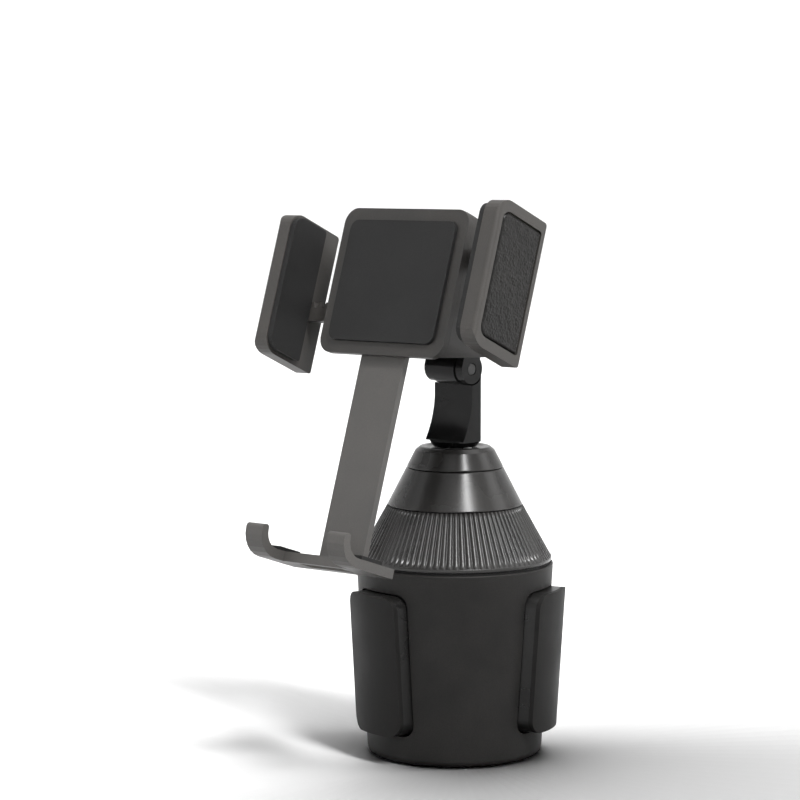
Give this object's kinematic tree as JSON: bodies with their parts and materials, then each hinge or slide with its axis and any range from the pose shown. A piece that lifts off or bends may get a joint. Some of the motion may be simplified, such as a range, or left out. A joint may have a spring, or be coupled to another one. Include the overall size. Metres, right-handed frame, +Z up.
{
  "type": "car phone mount",
  "caption": "Cup-holder phone mount with an expanding three-wing base, ribbed knob, swivelling neck and tilting cradle with geared clamp arms and a sliding foot.",
  "frame": {"origin": "middle of the base's underside, on the base's axis", "axes": "+Z up along the base's axis, the cradle faces -Y, +X to the right seen from behind the cradle's front"},
  "size_m": [0.0921, 0.1026, 0.1753],
  "materials": {
    "cup": "fine matte moulded, dark charcoal",
    "wing": "smooth satin moulded, near black",
    "wing_rubber": "soft matte rubber, near black",
    "knob": "satin ribbed, dark charcoal",
    "cone": "smooth satin, dark charcoal",
    "neck": "glossy black",
    "housing": "satin dark grey",
    "arm": "satin soft-touch dark grey",
    "inset": "pebbled dark grey",
    "foot": "satin mid grey",
    "rubber": "black rubber",
    "inner_plastic": "plain moulded grey",
    "gear": "acetal white",
    "black_pin": "blackened satin",
    "steel": "plain steel"
  },
  "bodies": {
    "base": {"cup_body": "cup", "foot_disc": "rubber", "guide_plate": "inner_plastic", "guide_screws": "steel", "centre_post": "inner_plastic", "slip_ring": "rubber", "top_cone": "cone", "cone_screws": "steel"},
    "knob": {"knob": "knob", "scroll_plate": "inner_plastic", "scroll_screws": "steel"},
    "wing_1": {"wing_carrier_1": "wing", "wing_pad_1": "wing_rubber", "follower_pin_1": "steel"},
    "wing_2": {"wing_carrier_2": "wing", "wing_pad_2": "wing_rubber", "follower_pin_2": "steel"},
    "wing_3": {"wing_carrier_3": "wing", "wing_pad_3": "wing_rubber", "follower_pin_3": "steel"},
    "neck": {"swivel_collar": "cone", "neck": "neck", "neck_spindle": "steel", "swivel_spring": "steel", "spindle_clip": "steel", "neck_screws": "steel", "tilt_pin": "black_pin"},
    "bracket": {"tilt_bracket": "neck", "turntable_washer": "steel", "turntable_spring": "steel", "turntable_screw": "steel"},
    "cradle": {"rear_cover": "housing", "front_cover": "housing", "back_pad": "rubber", "mid_plate": "inner_plastic", "mid_screws": "steel", "cover_screws": "steel", "pinion_pin": "steel", "opening_spring": "steel", "release_springs": "steel", "foot_detent": "steel"},
    "pinion": {"pinion": "gear"},
    "arm_right": {"arm_right": "arm", "side_inset_right": "inset", "grip_pad_right": "rubber"},
    "arm_left": {"arm_left": "arm", "side_inset_left": "inset", "grip_pad_left": "rubber"},
    "release": {"release_slider": "housing"},
    "foot": {"foot": "foot", "foot_caps": "rubber"}
  },
  "joints": [
    {"name": "knob_turn", "type": "hinge", "parent": "base", "child": "knob", "pos_m": [0, 0, 0.065], "axis": [0, 0, 1], "range_deg": [-76, 34]},
    {"name": "wing_1_slide", "type": "slide", "parent": "base", "child": "wing_1", "axis": [0.9291, 0.3697, 0], "range_m": [-0.00341, 0.00761]},
    {"name": "wing_2_slide", "type": "slide", "parent": "base", "child": "wing_2", "axis": [-0.7848, 0.6198, 0], "range_m": [-0.00341, 0.00761]},
    {"name": "wing_3_slide", "type": "slide", "parent": "base", "child": "wing_3", "axis": [-0.1444, -0.9895, 0], "range_m": [-0.00341, 0.00761]},
    {"name": "neck_swivel", "type": "hinge", "parent": "base", "child": "neck", "pos_m": [0, 0, 0.09], "axis": [0, 0, 1], "continuous": true},
    {"name": "cradle_tilt", "type": "hinge", "parent": "neck", "child": "bracket", "pos_m": [0, -0.0009, 0.12105], "axis": [1, 0, 0], "range_deg": [-25, 8]},
    {"name": "cradle_turn", "type": "hinge", "parent": "bracket", "child": "cradle", "pos_m": [0, -0.00219, 0.14077], "axis": [0, 0.9489, -0.3156], "range_deg": [-90, 90]},
    {"name": "arm_right_slide", "type": "slide", "parent": "cradle", "child": "arm_right", "axis": [0.9997, 0.0077, 0.0232], "range_m": [-0.01, 0.0055]},
    {"name": "arm_left_slide", "type": "slide", "parent": "cradle", "child": "arm_left", "axis": [-0.9997, -0.0077, -0.0232], "range_m": [-0.01001, 0.00551]},
    {"name": "pinion_turn", "type": "hinge", "parent": "cradle", "child": "pinion", "pos_m": [0, -0.02117, 0.14708], "axis": [0, 0.9489, -0.3156], "range_deg": [-82, 45.2]},
    {"name": "release_press", "type": "slide", "parent": "cradle", "child": "release", "axis": [0.0244, -0.3156, -0.9486], "range_m": [0, 0.0018], "stiffness_N_per_m": 400, "springref_m": -0.001, "deforming": ["release_springs"]},
    {"name": "foot_slide", "type": "slide", "parent": "cradle", "child": "foot", "axis": [-0.0244, 0.3156, 0.9486], "range_m": [-0.008, 0.006]}
  ],
  "couplings": [
    {"joint": "wing_1_slide", "follows": "knob_turn", "m_per_rad": -0.0057296},
    {"joint": "wing_2_slide", "follows": "knob_turn", "m_per_rad": -0.0057296},
    {"joint": "wing_3_slide", "follows": "knob_turn", "m_per_rad": -0.0057296},
    {"joint": "arm_left_slide", "follows": "arm_right_slide", "ratio": 1},
    {"joint": "pinion_turn", "follows": "arm_right_slide", "rad_per_m": 142.86}
  ]
}
